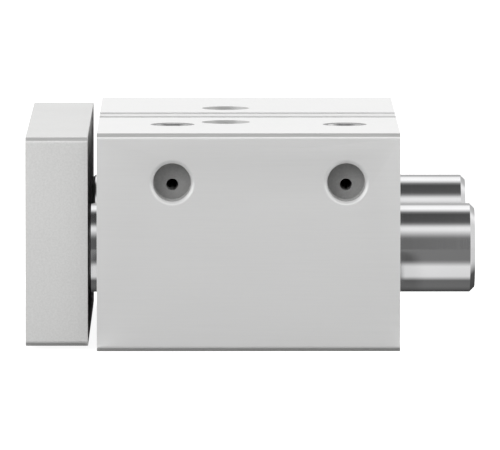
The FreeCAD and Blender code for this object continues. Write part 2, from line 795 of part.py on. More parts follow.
def piston():
    """Piston with grooves for its seals, guide band, magnet and end bumpers."""
    hole = d.spigot_radius + d.seat_clearance
    recess_at = d.piston_length - d.nut_recess_depth
    chamfer = d.piston_chamfer
    body = new_body("piston", on_axis(piston_at))
    revolve(body, [(0, hole), (0, piston_radius - chamfer), (chamfer, piston_radius),
                   (d.piston_length - chamfer, piston_radius),
                   (d.piston_length, piston_radius - chamfer),
                   (d.piston_length, nut_recess_radius), (recess_at, nut_recess_radius),
                   (recess_at, hole)])
    rim_grooves = {"front_seal": (front_seal_start, d.piston_seal_width, d.piston_seal_depth),
                   "guide_band": (guide_band_start, guide_band_width, d.guide_band_depth),
                   "magnet": (magnet_start, magnet_width, d.magnet_depth),
                   "rear_seal": (rear_seal_start, d.piston_seal_width, d.piston_seal_depth)}
    for name, (start, width, depth) in rim_grooves.items():
        bottom = piston_radius - depth
        groove(body, [(start, bottom), (start, d.bore_radius), (start + width, d.bore_radius),
                      (start + width, bottom)], f"{name}_groove")
    inner = bumper_inner - d.seat_clearance
    outer = bumper_outer + d.seat_clearance
    for name, start in (("front", -d.bumper_seat), ("rear", d.piston_length - d.bumper_seat)):
        end = start + d.bumper_seat * 2
        groove(body, [(start, inner), (start, outer), (end, outer), (end, inner)],
               f"{name}_bumper_groove")
    return body


def piston_rings():
    """Lip seals, guide band and magnet in the piston's grooves, and the two end bumpers."""
    side_gap = d.seat_clearance
    running = d.bore_radius - d.seal_clearance
    seal_bottom = piston_radius - d.piston_seal_depth + d.seat_clearance
    width = d.piston_seal_width - side_gap * 2
    mouth = seal_bottom + (running - seal_bottom) / 2
    body_radius = piston_radius - d.seat_clearance
    front = [(0, seal_bottom), (0, mouth - d.piston_seal_lip / 2), (width / 2, mouth),
             (0, running - d.piston_seal_lip / 2), (0, running), (d.piston_seal_lip, running),
             (width, body_radius), (width, seal_bottom)]
    rear = [(width - at, radius) for at, radius in front]
    for name, start, outline in (("front", front_seal_start, front),
                                 ("rear", rear_seal_start, rear)):
        seal = new_body(f"piston_seal_{name}", on_axis(piston_at + start + side_gap))
        revolve(seal, outline)
    band_inner = piston_radius - d.guide_band_depth + d.seat_clearance
    tube("piston_guide_band", on_axis(piston_at + guide_band_start + side_gap), band_inner,
         running, guide_band_width - side_gap * 2, d.small_chamfer)
    magnet_inner = piston_radius - d.magnet_depth + d.seat_clearance
    tube("piston_magnet", on_axis(piston_at + magnet_start + side_gap), magnet_inner,
         piston_radius - d.magnet_sink, magnet_width - side_gap * 2, d.small_chamfer)
    front_bumper_at = piston_at - d.bumper_proud
    rear_bumper_at = piston_at + d.piston_length - d.bumper_seat
    for name, at in (("front", front_bumper_at), ("rear", rear_bumper_at)):
        tube(f"bumper_{name}", on_axis(at), bumper_inner, bumper_outer,
             d.bumper_seat + d.bumper_proud, d.small_chamfer)


def piston_nut():
    """Thin nut on the spigot, inside the piston's rear recess."""
    body = new_body("piston_nut", on_axis(piston_at + d.piston_length - d.nut_recess_depth))
    blank = new_sketch(body, "blank", "YZ_Plane")
    draw_hexagon(blank, d.nut_across_flats)
    draw_circle(blank, (0, 0), d.spigot_radius + d.seat_clearance)
    pad(body, blank, d.nut_height)
    return body


# The whole assembly
housing()
guide_bushes()
rod_wipers()
bearing_cap()
o_ring("bearing_cap_o_ring", front_o_ring_at())
rod_bearing()
retaining_ring("front_retaining_ring", front_ring_at)
end_cap()
o_ring("end_cap_o_ring", rear_o_ring_at())
retaining_ring("rear_retaining_ring", rear_ring_at)
blanking_plug("blanking_plug_front", front_port_at)
blanking_plug("blanking_plug_rear", rear_port_at)
yoke_plate()
guide_rods()
yoke_screws()
piston_rod()
piston()
piston_rings()
piston_nut()
doc.recompute()

# Checks and files
failed = [thing.Name for thing in doc.Objects if "Invalid" in thing.State or "Error" in thing.State]
if failed:
    raise ValueError(f"failed objects: {failed}")
os.makedirs("parts", exist_ok=True)
for piece in doc.findObjects("PartDesign::Body"):
    shape = piece.Shape
    if shape.isNull() or not shape.isValid() or len(shape.Solids) != 1:
        raise ValueError(f"{piece.Label} is not one valid solid")
    shape.exportStep(os.path.join("parts", f"{piece.Label}.step"))
    print(f"{piece.Label:26s}{shape.Volume:12.1f} mm3")
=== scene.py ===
import json
from math import pi, radians

import bmesh
import bpy
from mathutils import Matrix, Vector


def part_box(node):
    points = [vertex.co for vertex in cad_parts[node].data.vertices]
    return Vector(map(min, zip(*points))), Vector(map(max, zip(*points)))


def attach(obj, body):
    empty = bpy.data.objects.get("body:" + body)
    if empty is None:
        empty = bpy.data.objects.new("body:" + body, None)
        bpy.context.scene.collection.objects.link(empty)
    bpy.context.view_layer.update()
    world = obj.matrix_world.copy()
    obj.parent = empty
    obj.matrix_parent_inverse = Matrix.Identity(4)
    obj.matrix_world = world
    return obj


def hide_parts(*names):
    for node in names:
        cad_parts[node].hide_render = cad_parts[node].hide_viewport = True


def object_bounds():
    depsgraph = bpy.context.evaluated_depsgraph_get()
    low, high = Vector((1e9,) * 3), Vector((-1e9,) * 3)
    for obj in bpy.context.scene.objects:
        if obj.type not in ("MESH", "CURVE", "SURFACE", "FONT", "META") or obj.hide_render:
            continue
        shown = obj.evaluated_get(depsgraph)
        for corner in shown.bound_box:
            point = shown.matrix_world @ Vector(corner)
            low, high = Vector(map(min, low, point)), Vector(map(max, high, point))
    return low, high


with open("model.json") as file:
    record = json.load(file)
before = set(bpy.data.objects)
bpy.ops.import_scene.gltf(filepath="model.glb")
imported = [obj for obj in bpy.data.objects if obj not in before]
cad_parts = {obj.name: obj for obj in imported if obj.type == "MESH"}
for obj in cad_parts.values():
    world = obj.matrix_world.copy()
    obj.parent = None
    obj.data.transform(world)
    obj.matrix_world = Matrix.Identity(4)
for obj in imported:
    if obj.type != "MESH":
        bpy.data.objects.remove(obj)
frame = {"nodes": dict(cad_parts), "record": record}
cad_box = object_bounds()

MM = 0.001
nodes = frame["nodes"]
scene = bpy.context.scene

# Nodes and mounts with details of their own
PORT_MOUNTS = ("port_front", "port_rear")
PLUGS = ("blanking_plug_front", "blanking_plug_rear")
SCREWS = ("guide_rod_screw_left", "guide_rod_screw_right", "piston_rod_screw")
GUIDE_RODS = ("guide_rod_left", "guide_rod_right")

# Widths of the broken edges, and the segments that round them
EDGE_BREAK = 0.05 * MM
PLATE_EDGE_BREAK = 0.12 * MM
SMALL_EDGE_BREAK = 0.08 * MM
LONG_EDGE_BREAK = 0.32 * MM
RIM_BREAK = 0.24 * MM
EDGE_SEGMENTS = 2
LONG_EDGE_SEGMENTS = 4

# What tells edges and faces apart: angles between faces, the least share of a normal along an axis
# that a face looks along, and for the long chamfers their slope and least area
SHARP_ANGLE = radians(28)
CURVED_ANGLE = radians(0.5)
FLAT_ANGLE = radians(0.4)
WELD_DISTANCE = 0.001 * MM
LOOKS_ALONG = 0.9
CHAMFER_SLOPE = 0.02
CHAMFER_AREA = 5 * MM * MM

# How far the worked parts reach from their middles or from the face that they are cut in
RIM_REACH = 5.2 * MM
PLUG_MOUTH_RADIUS = 5.2 * MM
COUNTERBORE_RADIUS = 5.6 * MM
COUNTERBORE_DEPTH = 6.6 * MM
SLOT_RIB_REACH = 3.0 * MM
SOCKET_CORE = 1.0 * MM
SOCKET_REACH = 3.6 * MM
ROD_END_DEPTH = 3.1 * MM
CENTRE_HOLE_REACH = 2.05 * MM

# The plugs' tops, which stand nearly flush
PLUG_RISE = 0.62 * MM
PLUG_TOP_DEPTH = 1.2 * MM

# Threads: pitches and depth, and the rib's own sizes in parts of its pitch
PIPE_PITCH = 0.907 * MM
M8_PITCH = 1.25 * MM
M6_PITCH = 1.0 * MM
BASE_THREAD_DEPTH = 14 * MM
THREAD_STEPS = 36
THREAD_HEIGHT = 0.14
THREAD_HALF_WIDTH = 0.38
THREAD_LEAD_IN = 1.1
THREAD_CLEARANCE = WELD_DISTANCE * 5

# Places of the finishes in the material lists of the housing, the plate and the round pieces
SKIN, END, PORT, CHAMFER, SEAT, PLUG_MOUTH, SLOT_RIB = range(7)
PLATE_SKIN, PLATE_CHAMFER, PLATE_REAR = range(3)
PLAIN, WORKED = range(2)

# Photograph's camera, from its straight edges
PHOTO_WIDTH = 500
SENSOR_WIDTH = 36.0
FOCAL_PIXELS = 9127.5
CAMERA_PLACE = Vector((-8.12, -2090.5, 208.25)) * MM
CAMERA_PITCH = radians(5.047)
CAMERA_YAW = radians(0.238)


# Materials
class Nodes:
    """A node tree under construction."""

    def __init__(self, tree):
        self.tree = tree

    def node(self, kind, **settings):
        made = self.tree.nodes.new(kind)
        for name, value in settings.items():
            setattr(made, name, value)
        return made

    def feed(self, socket, value):
        """Give a socket another node's output or a plain value."""
        if isinstance(value, bpy.types.NodeSocket):
            self.tree.links.new(value, socket)
        else:
            socket.default_value = value

    def calculate(self, operation, *values):
        made = self.node("ShaderNodeMath", operation=operation)
        for socket, value in zip(made.inputs, values):
            self.feed(socket, value)
        return made.outputs[0]

    def span(self, value, start, end):
        """0 up to the start, 1 from the end on, and in proportion between them."""
        made = self.node("ShaderNodeMapRange")
        self.feed(made.inputs["Value"], value)
        self.feed(made.inputs["From Min"], start)
        self.feed(made.inputs["From Max"], end)
        return made.outputs[0]

    def stops(self, factor, tones):
        """Map a factor from 0 to 1 to tones, from pairs of position and colour or grey value."""
        ramp = self.node("ShaderNodeValToRGB")
        elements = ramp.color_ramp.elements
        while len(elements) < len(tones):
            elements.new(0.5)
        for element, (position, tone) in zip(elements, tones):
            element.position = position
            element.color = as_colour(tone)
        self.feed(ramp.inputs["Fac"], factor)
        return ramp.outputs["Color"]

    def blend(self, factor, one, other, mode="MIX"):
        """Blend two colours; sockets 6, 7 and 2 are the mix node's own for colours."""
        mix = self.node("ShaderNodeMix", data_type="RGBA", blend_type=mode)
        self.feed(mix.inputs[0], factor)
        self.feed(mix.inputs[6], one)
        self.feed(mix.inputs[7], other)
        return mix.outputs[2]

    def choose(self, factor, first, second):
        """The first shader where the factor is 0, the second where it is 1."""
        made = self.node("ShaderNodeMixShader")
        for socket, value in zip(made.inputs, (factor, first, second)):
            self.feed(socket, value)
        return made.outputs[0]

    def glow(self, kind, colour, strength=1.0):
        """A shader that gives off light, for a surface or for the world."""
        made = self.node(kind)
        self.feed(made.inputs["Color"], colour)
        self.feed(made.inputs["Strength"], strength)
        return made.outputs[0]


class Finish(Nodes):
    """A material under construction: its node tree and its surface shader."""

    def __init__(self, name):
        self.material = bpy.data.materials.new(name)
        self.material.use_nodes = True
        super().__init__(self.material.node_tree)
        self.shader = self.tree.nodes["Principled BSDF"]

    def set(self, **values):
        for name, value in values.items():
            self.shader.inputs[name.replace("_", " ")].default_value = value

    def place(self, scale=(1, 1, 1), shift=(0, 0, 0)):
        """Object coordinates, stretched and moved."""
        coordinates = self.node("ShaderNodeTexCoord")
        mapping = self.node("ShaderNodeMapping")
        self.feed(mapping.inputs["Vector"], coordinates.outputs["Object"])
        self.feed(mapping.inputs["Scale"], scale)
        self.feed(mapping.inputs["Location"], shift)
        return mapping.outputs["Vector"]

    def noise(self, vector, scale, detail=3.0, roughness=0.5):
        texture = self.node("ShaderNodeTexNoise")
        self.feed(texture.inputs["Vector"], vector)
        self.feed(texture.inputs["Scale"], scale)
        self.feed(texture.inputs["Detail"], detail)
        self.feed(texture.inputs["Roughness"], roughness)
        return texture.outputs["Fac"]

    def ramp(self, factor, low, high, start=0.3, end=0.7):
        """Map a pattern to a range of colours or of grey values."""
        return self.stops(factor, [(start, low), (end, high)])

    def bump(self, height, distance, strength=1.0, before=None):
        relief = self.node("ShaderNodeBump")
        self.feed(relief.inputs["Height"], height)
        self.feed(relief.inputs["Distance"], distance)
        self.feed(relief.inputs["Strength"], strength)
        if before is not None:
            self.feed(relief.inputs["Normal"], before)
        return relief.outputs["Normal"]

    def colour(self, output):
        self.feed(self.shader.inputs["Base Color"], output)

    def roughness(self, output):
        self.feed(self.shader.inputs["Roughness"], output)

    def normal(self, output):
        self.feed(self.shader.inputs["Normal"], output)


def as_colour(value):
    if isinstance(value, (int, float)):
        return (value, value, value, 1.0)
    return (*value, 1.0)


def anodised_extrusion(name="anodised_extrusion", low=0.700, high=0.716):
    """Satin natural anodised profile with a faint grain along its length."""
    finish = Finish(name)
    grain = finish.noise(finish.place((6, 1, 1)), 900, 4.0, 0.6)
    streaks = finish.noise(finish.place((0.02, 1, 1)), 2600, 3.0, 0.55)
    cloud = finish.noise(finish.place(), 26, 2.0)
    tone = finish.ramp(streaks, (low, low, low - 0.003), (high, high, high - 0.003))
    patches = finish.ramp(cloud, 0.99, 1.0, 0.35, 0.65)
    finish.colour(finish.blend(1.0, tone, patches, "MULTIPLY"))
    finish.roughness(finish.ramp(streaks, 0.32, 0.36))
    finish.set(Metallic=0.5)
    lines = finish.bump(streaks, 0.004 * MM, 0.5)
    finish.normal(finish.bump(grain, 0.003 * MM, 0.35, lines))
    return finish.material


def milled_end_face():
    """Anodised end of the profile, with the shallow arcs of a large milling cutter."""
    finish = Finish("milled_end_face")
    arcs = finish.node("ShaderNodeTexWave", wave_type="RINGS", rings_direction="X")
    finish.feed(arcs.inputs["Vector"], finish.place(shift=(0, 0.02, 0.09)))
    finish.feed(arcs.inputs["Scale"], 420)
    finish.feed(arcs.inputs["Distortion"], 0.6)
    finish.feed(arcs.inputs["Detail"], 2.0)
    height = arcs.outputs["Fac"]
    grain = finish.noise(finish.place(), 1400, 3.0, 0.6)
    finish.colour(finish.ramp(height, (0.685, 0.685, 0.68), (0.715, 0.715, 0.71), 0.1, 0.9))
    finish.roughness(finish.ramp(grain, 0.38, 0.46))
    finish.set(Metallic=0.5)
    rings = finish.bump(height, 0.003 * MM, 0.5)
    finish.normal(finish.bump(grain, 0.003 * MM, 0.3, rings))
    return finish.material


def chamfer_painted_shade():
    """Long chamfers, a little darker than the profile's skin: painted shade for how light falls on
    the chamfers.
    """
    finish = Finish("chamfer_painted_shade")
    marks = finish.noise(finish.place((0.05, 1, 1)), 2600, 3.0)
    finish.colour(finish.ramp(marks, (0.452, 0.452, 0.447), (0.482, 0.482, 0.477)))
    finish.roughness(finish.ramp(marks, 0.32, 0.40))
    finish.set(Metallic=0.5)
    finish.normal(finish.bump(marks, 0.003 * MM, 0.35))
    return finish.material


def seat_painted_shade():
    """Walls and seats of the counterbores, with the cutter's marks down their walls, and darker than
    the skin: painted shade in the recess.
    """
    finish = Finish("seat_painted_shade")
    marks = finish.noise(finish.place((0.1, 0.1, 1)), 2600, 3.0)
    finish.colour(finish.ramp(marks, (0.45, 0.45, 0.445), (0.49, 0.49, 0.485)))
    finish.roughness(finish.ramp(marks, 0.32, 0.40))
    finish.set(Metallic=0.5)
    finish.normal(finish.bump(marks, 0.003 * MM, 0.4))
    return finish.material


def rear_face_painted_shade():
    """Inner face of the plate, a very dark metal: painted shade for the narrow gap before the
    housing.
    """
    finish = Finish("rear_face_painted_shade")
    marks = finish.noise(finish.place((1, 1, 0.08)), 1500, 3.0)
    finish.colour(finish.ramp(marks, (0.12, 0.12, 0.118), (0.17, 0.17, 0.168)))
    finish.roughness(finish.ramp(marks, 0.30, 0.40))
    finish.set(Metallic=1.0)
    finish.normal(finish.bump(marks, 0.003 * MM, 0.4))
    return finish.material


def blasted_aluminium():
    """Plate finely blasted before anodising: even, with a very small speckle."""
    finish = Finish("blasted_aluminium")
    speckle = finish.noise(finish.place(), 2300, 4.0, 0.65)
    cloud = finish.noise(finish.place(), 40, 2.0)
    tone = finish.ramp(speckle, (0.491, 0.491, 0.486), (0.551, 0.551, 0.546), 0.35, 0.65)
    patches = finish.ramp(cloud, 0.975, 1.0, 0.35, 0.65)
    finish.colour(finish.blend(1.0, tone, patches, "MULTIPLY"))
    finish.roughness(finish.ramp(speckle, 0.38, 0.46))
    finish.set(Metallic=0.2)
    finish.normal(finish.bump(speckle, 0.006 * MM, 0.55))
    return finish.material


def turned_aluminium():
    """Caps and piston, with fine tool marks round the X axis."""
    finish = Finish("turned_aluminium")
    marks = finish.noise(finish.place((1, 0.03, 0.03)), 5200, 2.0)
    faces = finish.noise(finish.place(), 1700, 3.0)
    finish.colour(finish.ramp(marks, (0.60, 0.60, 0.595), (0.70, 0.70, 0.695)))
    finish.roughness(finish.ramp(faces, 0.28, 0.40))
    finish.set(Metallic=1.0)
    finish.normal(finish.bump(marks, 0.003 * MM, 0.5))
    return finish.material


def port_bore_painted_shade():
    """Inside of a drilled side port, much darker than the skin: painted shade down the hole."""
    finish = Finish("port_bore_painted_shade")
    marks = finish.noise(finish.place((1, 0.1, 1)), 2400, 3.0)
    finish.colour(finish.ramp(marks, (0.33, 0.33, 0.327), (0.39, 0.39, 0.386)))
    finish.roughness(finish.ramp(marks, 0.34, 0.44))
    finish.set(Metallic=0.35)
    finish.normal(finish.bump(marks, 0.003 * MM, 0.4))
    return finish.material


def turned_steel():
    """Ends of the rods, faced off on a lathe before the rods were chromed along their length."""
    finish = Finish("turned_steel")
    rings = finish.noise(finish.place((1, 0.05, 0.05)), 4200, 2.0)
    satin = finish.noise(finish.place(), 1900, 3.0)
    finish.colour(finish.ramp(rings, (0.40, 0.40, 0.405), (0.50, 0.50, 0.505)))
    finish.roughness(finish.ramp(satin, 0.30, 0.42))
    finish.set(Metallic=0.6)
    finish.normal(finish.bump(satin, 0.003 * MM, 0.5))
    return finish.material


def hard_chrome():
    """Ground and chromed rod: nearly a mirror, with a trace of the grinding."""
    finish = Finish("hard_chrome")
    grinding = finish.noise(finish.place((1, 0.02, 0.02)), 3600, 3.0, 0.6)
    haze = finish.noise(finish.place(), 60, 2.0)
    finish.colour(finish.ramp(haze, (0.62, 0.62, 0.625), (0.66, 0.66, 0.665)))
    finish.roughness(finish.ramp(grinding, 0.05, 0.11))
    finish.set(Metallic=1.0, Specular_Tint=(0.6, 0.6, 0.6, 1.0))
    finish.normal(finish.bump(grinding, 0.0006 * MM, 0.35))
    return finish.material


def sintered_bronze():
    finish = Finish("sintered_bronze")
    pores = finish.noise(finish.place(), 3000, 4.0, 0.7)
    tint = finish.noise(finish.place(), 260, 2.0)
    warm = finish.ramp(tint, (0.50, 0.31, 0.13), (0.62, 0.42, 0.20))
    dark = finish.ramp(pores, 0.62, 1.0, 0.34, 0.46)
    finish.colour(finish.blend(1.0, warm, dark, "MULTIPLY"))
    finish.roughness(finish.ramp(pores, 0.55, 0.36))
    finish.set(Metallic=1.0)
    finish.normal(finish.bump(pores, 0.01 * MM, 0.6))
    return finish.material


def nitrile_rubber():
    finish = Finish("nitrile_rubber")
    skin = finish.noise(finish.place(), 2400, 4.0, 0.6)
    bloom = finish.noise(finish.place(), 180, 3.0)
    finish.colour(finish.ramp(bloom, (0.012, 0.012, 0.013), (0.028, 0.028, 0.030)))
    finish.roughness(finish.ramp(skin, 0.48, 0.66))
    finish.set(Specular_IOR_Level=0.45)
    finish.normal(finish.bump(skin, 0.008 * MM, 0.5))
    return finish.material


def bumper_polyurethane():
    finish = Finish("bumper_polyurethane")
    skin = finish.noise(finish.place(), 1500, 3.0)
    tint = finish.noise(finish.place(), 120, 2.0)
    finish.colour(finish.ramp(tint, (0.07, 0.12, 0.26), (0.10, 0.16, 0.32)))
    finish.roughness(finish.ramp(skin, 0.36, 0.48))
    finish.normal(finish.bump(skin, 0.006 * MM, 0.4))
    return finish.material


def filled_resin():
    finish = Finish("filled_resin")
    fibres = finish.noise(finish.place((0.2, 1, 1)), 2200, 4.0, 0.6)
    finish.colour(finish.ramp(fibres, (0.045, 0.043, 0.040), (0.085, 0.082, 0.078)))
    finish.roughness(finish.ramp(fibres, 0.45, 0.6))
    finish.normal(finish.bump(fibres, 0.006 * MM, 0.4))
    return finish.material


def bonded_ferrite():
    finish = Finish("bonded_ferrite")
    grit = finish.noise(finish.place(), 2600, 4.0, 0.7)
    finish.colour(finish.ramp(grit, (0.05, 0.05, 0.055), (0.10, 0.10, 0.105)))
    finish.roughness(finish.ramp(grit, 0.5, 0.7))
    finish.normal(finish.bump(grit, 0.01 * MM, 0.5))
    return finish.material


def phosphated_spring_steel():
    finish = Finish("phosphated_spring_steel")
    crystals = finish.noise(finish.place(), 3200, 4.0, 0.65)
    finish.colour(finish.ramp(crystals, (0.13, 0.125, 0.12), (0.22, 0.215, 0.205)))
    finish.roughness(finish.ramp(crystals, 0.38, 0.52))
    finish.set(Metallic=1.0)
    finish.normal(finish.bump(crystals, 0.006 * MM, 0.45))
    return finish.material


def zinc_plated_steel():
    """Screws and nut, bright zinc with faint cloudy passivation."""
    finish = Finish("zinc_plated_steel")
    cloud = finish.noise(finish.place(), 330, 3.0)
    satin = finish.noise(finish.place(), 2600, 3.0)
    finish.colour(finish.ramp(cloud, (0.42, 0.425, 0.44), (0.54, 0.545, 0.555)))
    finish.roughness(finish.ramp(satin, 0.26, 0.38))
    finish.set(Metallic=1.0)
    finish.normal(finish.bump(satin, 0.004 * MM, 0.4))
    return finish.material


def nickel_plated_plug():
    """Plug turned from bar and nickel plated, with a faint cloudy tone."""
    finish = Finish("nickel_plated_plug")
    satin = finish.noise(finish.place(), 2200, 4.0, 0.6)
    cloud = finish.noise(finish.place(), 420, 2.0)
    finish.colour(finish.ramp(cloud, (0.50, 0.50, 0.505), (0.60, 0.60, 0.60)))
    finish.roughness(finish.ramp(satin, 0.22, 0.34))
    finish.set(Metallic=1.0)
    finish.normal(finish.bump(satin, 0.004 * MM, 0.45))
    return finish.material


def socket_painted_shade():
    """Socket walls and thread start of a plug or screw, and the housing's mouth round each plug:
    dark, painted shade in these recesses.
    """
    finish = Finish("socket_painted_shade")
    marks = finish.noise(finish.place(), 2600, 3.0)
    finish.colour(finish.ramp(marks, (0.20, 0.20, 0.202), (0.27, 0.27, 0.27)))
    finish.roughness(finish.ramp(marks, 0.34, 0.46))
    finish.set(Metallic=0.3)
    finish.normal(finish.bump(marks, 0.004 * MM, 0.4))
    return finish.material


def cut_thread():
    """Freshly cut thread in aluminium."""
    finish = Finish("cut_thread")
    marks = finish.noise(finish.place(), 3600, 3.0)
    finish.colour(finish.ramp(marks, (0.52, 0.52, 0.515), (0.60, 0.60, 0.595)))
    finish.roughness(finish.ramp(marks, 0.26, 0.38))
    finish.set(Metallic=0.4)
    finish.normal(finish.bump(marks, 0.003 * MM, 0.4))
    return finish.material


# One finish for each material slot of the record, then those of single faces and details
FINISHES = {
    "anodised_aluminium": anodised_extrusion(),
    "machined_aluminium": turned_aluminium(),
    "hard_chrome": hard_chrome(),
    "bearing_bronze": sintered_bronze(),
    "seal_rubber": nitrile_rubber(),
    "bumper_polyurethane": bumper_polyurethane(),
    "guide_band_resin": filled_resin(),
    "magnet_ferrite": bonded_ferrite(),
    "ring_spring_steel": phosphated_spring_steel(),
    "screw_steel": zinc_plated_steel(),
    "plug_steel": nickel_plated_plug(),
}
# The top between the slots: the skin's finish a little darker, painted shade.
RIB_PAINTED_SHADE = anodised_extrusion("slot_rib_painted_shade", 0.65, 0.67)
MILLED_END = milled_end_face()
BLASTED = blasted_aluminium()
# Side port bores: painted shade down the holes.
PORT_PAINTED_SHADE = port_bore_painted_shade()
# Long chamfers of housing and plate: painted shade, a tone darker than the skin.
CHAMFER_PAINTED_SHADE = chamfer_painted_shade()
# Counterbore walls and seats: painted shade in the recesses, darker than the skin.
SEAT_PAINTED_SHADE = seat_painted_shade()
TURNED_STEEL = turned_steel()
# Sockets, plug sides and the housing's mouths round the plugs: painted shade in the recesses.
SOCKET_PAINTED_SHADE = socket_painted_shade()
# Inner face of the plate: painted shade for the gap before the housing.
REAR_PAINTED_SHADE = rear_face_painted_shade()
THREAD = cut_thread()


def finish_cad_nodes():
    """Give every CAD node the finish of its material slot."""
    for subpart in frame["record"]["subparts"]:
        mesh = nodes[subpart["node"]].data
        mesh.materials.clear()
        mesh.materials.append(FINISHES[subpart["material_slot"]])


# Places from the record and the CAD
def mount(name):
    for made in frame["record"]["mounts"]:
        if made["name"] == name:
            return made
    raise ValueError(f"no mount {name}")


def pattern_places(pattern):
    """The hole centres of a bolt pattern, a rectangle or one row of two."""
    centre = Vector(pattern["pos_m"])
    axis = Vector(pattern["axis"])
    across = [unit for unit in Matrix.Identity(3) if abs(unit.dot(axis)) < 0.5]
    spacing_x = pattern["dims"].get("spacing_x_mm", 0)
    half_x = across[0] * spacing_x * MM / 2
    half_y = across[1] * pattern["dims"]["spacing_y_mm"] * MM / 2
    columns = (-1, 1) if spacing_x else (0,)
    return [centre + half_x * i + half_y * j for i in columns for j in (-1, 1)]


def middle_of(node):
    low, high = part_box(node)
    return (low + high) / 2


def near_any(place, centres, reach):
    """Whether a place lies within reach of the Z axis through one of the centres."""
    return any((place - centre).to_2d().length < reach for centre in centres)


def off_x_axis(place, middle):
    """Distance of a place from the X axis through a middle."""
    return Vector((place.y - middle.y, place.z - middle.z)).length


# Edges and faces
def sharp_edges(bm):
    return [edge for edge in bm.edges if edge.is_manifold and edge.calc_face_angle() > SHARP_ANGLE]


def is_long_edge(edge, low, high):
    """Whether an edge runs along the piece on its near or its far side."""
    first, second = (v.co for v in edge.verts)
    on_side = all(min(v.co.y - low.y, high.y - v.co.y) < WELD_DISTANCE for v in edge.verts)
    return on_side and abs(first.x - second.x) > (high.x - low.x) / 2


def is_rim(edge, rims, low):
    """Whether an edge is part of a hole's rim on the near face, for holes with these middles."""
    if any(v.co.y - low.y > WELD_DISTANCE for v in edge.verts):
        return False
    return any((edge.verts[0].co - middle).xz.length < RIM_REACH for middle in rims)


def is_curved(face, rounded):
    """Whether a face is part of a bore's wall or of another curved surface."""
    for edge in face.edges:
        if edge.is_manifold and CURVED_ANGLE < edge.calc_face_angle() < SHARP_ANGLE:
            if not any(other in rounded for other in edge.link_faces):
                return True
    return False


def is_chamfer(face):
    """Whether a face is one of the long 45 degree chamfers."""
    slope = abs(abs(face.normal.y) - abs(face.normal.z))
    return slope < CHAMFER_SLOPE and face.calc_area() > CHAMFER_AREA


def inside_bore(place, port):
    """Whether a place lies in a port's bore, behind its countersink."""
    away = place - Vector(port["pos_m"])
    axis = Vector(port["axis"])
    depth = away.dot(axis)
    radius = (away - axis * depth).length
    half = port["dims"]["length_mm"] * MM / 2
    return abs(depth) < half + EDGE_BREAK and radius < port["dims"]["r_mm"] * MM + WELD_DISTANCE


# Copies of the CAD's meshes
def welded_copy(node):
    """A copy of a node's mesh with its corners merged."""
    bm = bmesh.new()
    bm.from_mesh(nodes[node].data)
    bmesh.ops.remove_doubles(bm, verts=bm.verts, dist=WELD_DISTANCE)
    return bm


def sharp_edged_copy(node):
    """A welded copy that is smooth apart from its sharp edges, for ground and polished pieces."""
    bm = welded_copy(node)
    for edge in sharp_edges(bm):
        edge.smooth = False
    for face in bm.faces:
        face.smooth = True
    return bm


def break_edges(bm, edges, width, segments):
    """Round edges off and return the narrow faces that this makes."""
    made = bmesh.ops.bevel(bm, geom=edges, offset=width, offset_type="OFFSET", segments=segments,
                           profile=0.5, affect="EDGES", clamp_overlap=True, material=-1)
    return set(made["faces"])


def edge_broken_copy(node, edge_break, rims=()):
    """A welded copy of a node's mesh whose sharp edges have a small rounded break.

    The long outer edges have a larger one, and so have the rims round the places named in rims."""
    low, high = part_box(node)
    bm = welded_copy(node)
    bmesh.ops.dissolve_limit(bm, angle_limit=FLAT_ANGLE, verts=bm.verts, edges=bm.edges)
    long_edges = [edge for edge in sharp_edges(bm) if is_long_edge(edge, low, high)]
    rounded = break_edges(bm, long_edges, LONG_EDGE_BREAK, LONG_EDGE_SEGMENTS)
    rim_edges = [edge for edge in sharp_edges(bm) if is_rim(edge, rims, low)]
    if rim_edges:
        rounded |= break_edges(bm, rim_edges, RIM_BREAK, EDGE_SEGMENTS)
    narrow = break_edges(bm, sharp_edges(bm), edge_break, EDGE_SEGMENTS)
    rounded = {face for face in rounded | narrow if face.is_valid}
    for face in bm.faces:
        face.smooth = face in rounded or is_curved(face, rounded)
    return bm


# Pieces
def new_piece(name, bm, materials, body):
    """Turn a bmesh into a finished piece that rides on a body."""
    mesh = bpy.data.meshes.new(name)
    bm.to_mesh(mesh)
    bm.free()
    for material in materials:
        mesh.materials.append(material)
    piece = bpy.data.objects.new(name, mesh)
    scene.collection.objects.link(piece)
    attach(piece, body)
    return piece


